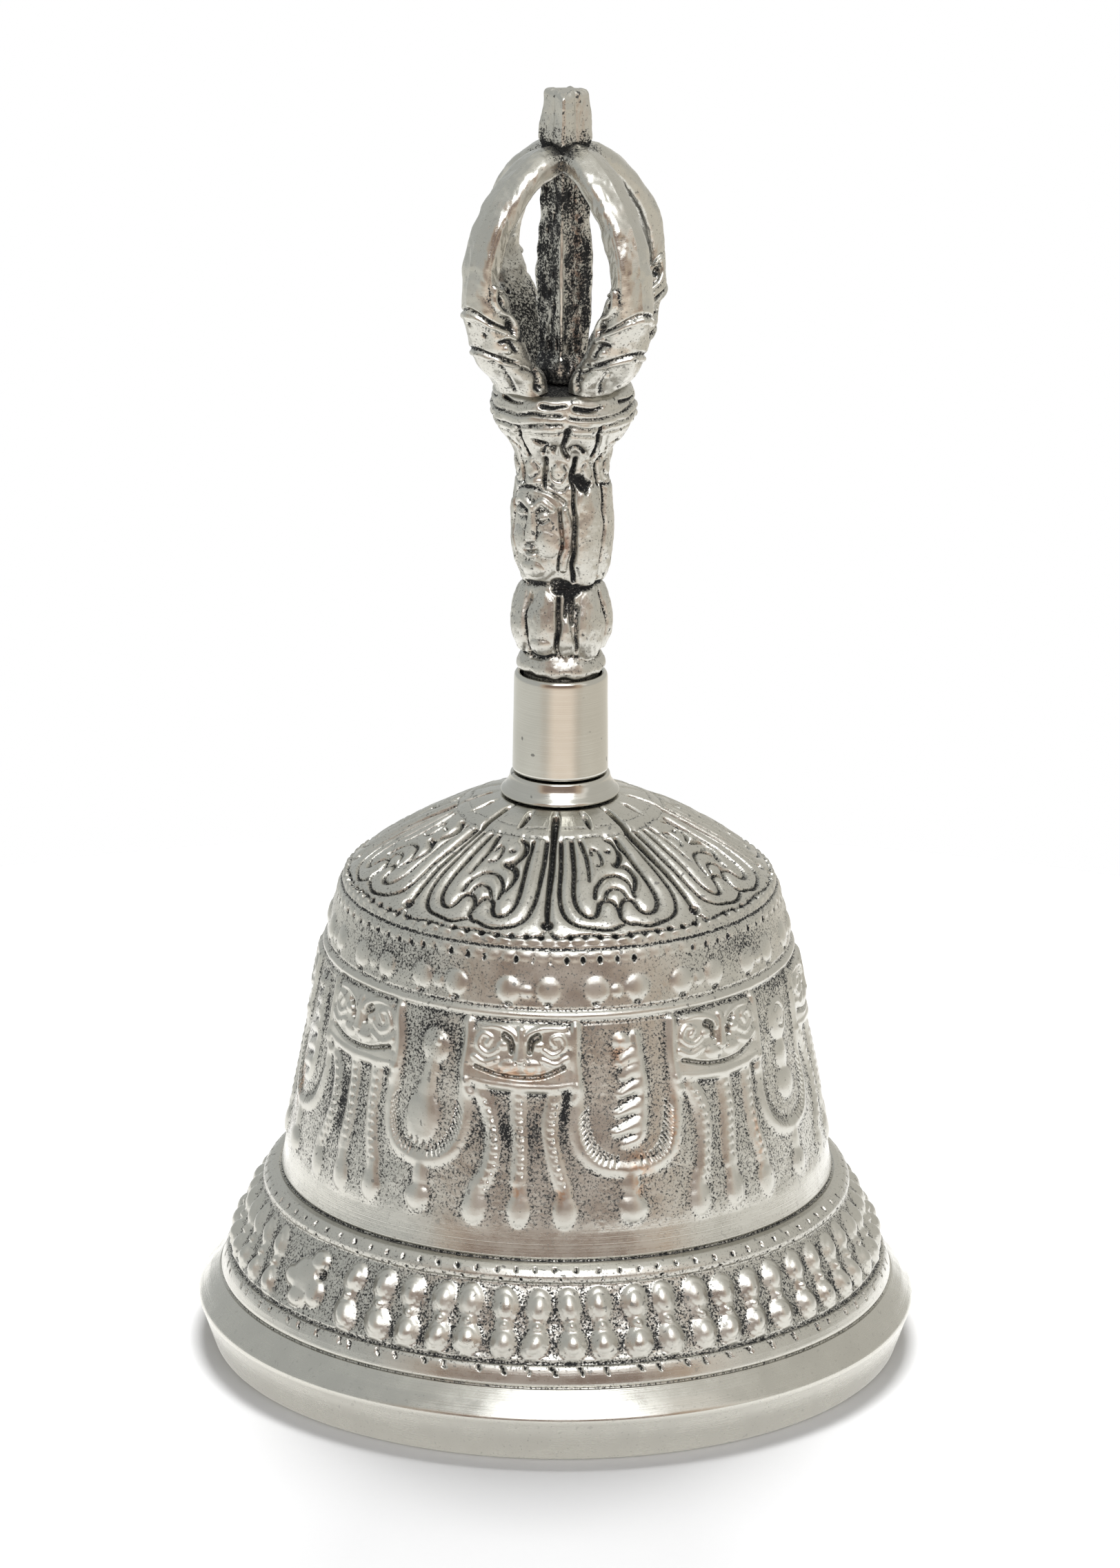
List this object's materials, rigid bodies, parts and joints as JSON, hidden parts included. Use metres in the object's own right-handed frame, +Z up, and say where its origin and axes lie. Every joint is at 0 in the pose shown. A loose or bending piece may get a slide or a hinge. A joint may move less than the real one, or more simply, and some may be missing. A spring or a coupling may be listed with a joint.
{
  "type": "hand bell with half vajra handle",
  "caption": "Cast ritual hand bell: flared bell body, plain sleeve, turned stem with a cage of curved prongs on top, and a linked clapper that swings freely inside.",
  "frame": {"origin": "centre of the bell's mouth, on the flat rim that it stands on", "axes": "+Z up along the bell and its handle; the front, with its pair of nearer prongs, faces -Y; +X is to the right seen from the front"},
  "size_m": [0.09, 0.09, 0.16],
  "materials": {
    "cast_bell_metal": "silver-toned casting, satin, with black patina in the hollows",
    "polished_bell_metal": "polished, with fine turning lines",
    "dark_prong_metal": "filed, with dark patina",
    "zinc_steel": "bright zinc plate, slightly dull",
    "clapper_brass": "turned, slightly tarnished"
  },
  "bodies": {
    "bell": {"bell_shell": "cast_bell_metal", "neck_collar": "polished_bell_metal", "ferrule": "polished_bell_metal", "handle_stem": "cast_bell_metal", "outer_prong_front_left": "cast_bell_metal", "outer_prong_front_right": "cast_bell_metal", "outer_prong_back_left": "cast_bell_metal", "outer_prong_back_right": "cast_bell_metal", "central_prong": "dark_prong_metal", "tie_rod": "zinc_steel", "crown_washer": "zinc_steel", "crown_nut": "zinc_steel"},
    "link": {"clapper_link": "zinc_steel"},
    "clapper": {"clapper_shank": "zinc_steel", "clapper_bob": "clapper_brass"}
  },
  "joints": [
    {"name": "link_swing", "type": "hinge", "parent": "bell", "child": "link", "pos_m": [0, 0, 0.0524], "axis": [1, 0, 0], "range_deg": [-34, 34]},
    {"name": "clapper_swing", "type": "hinge", "parent": "link", "child": "clapper", "pos_m": [0, 0, 0.04595], "axis": [0, 1, 0], "range_deg": [-12, 12]}
  ]
}
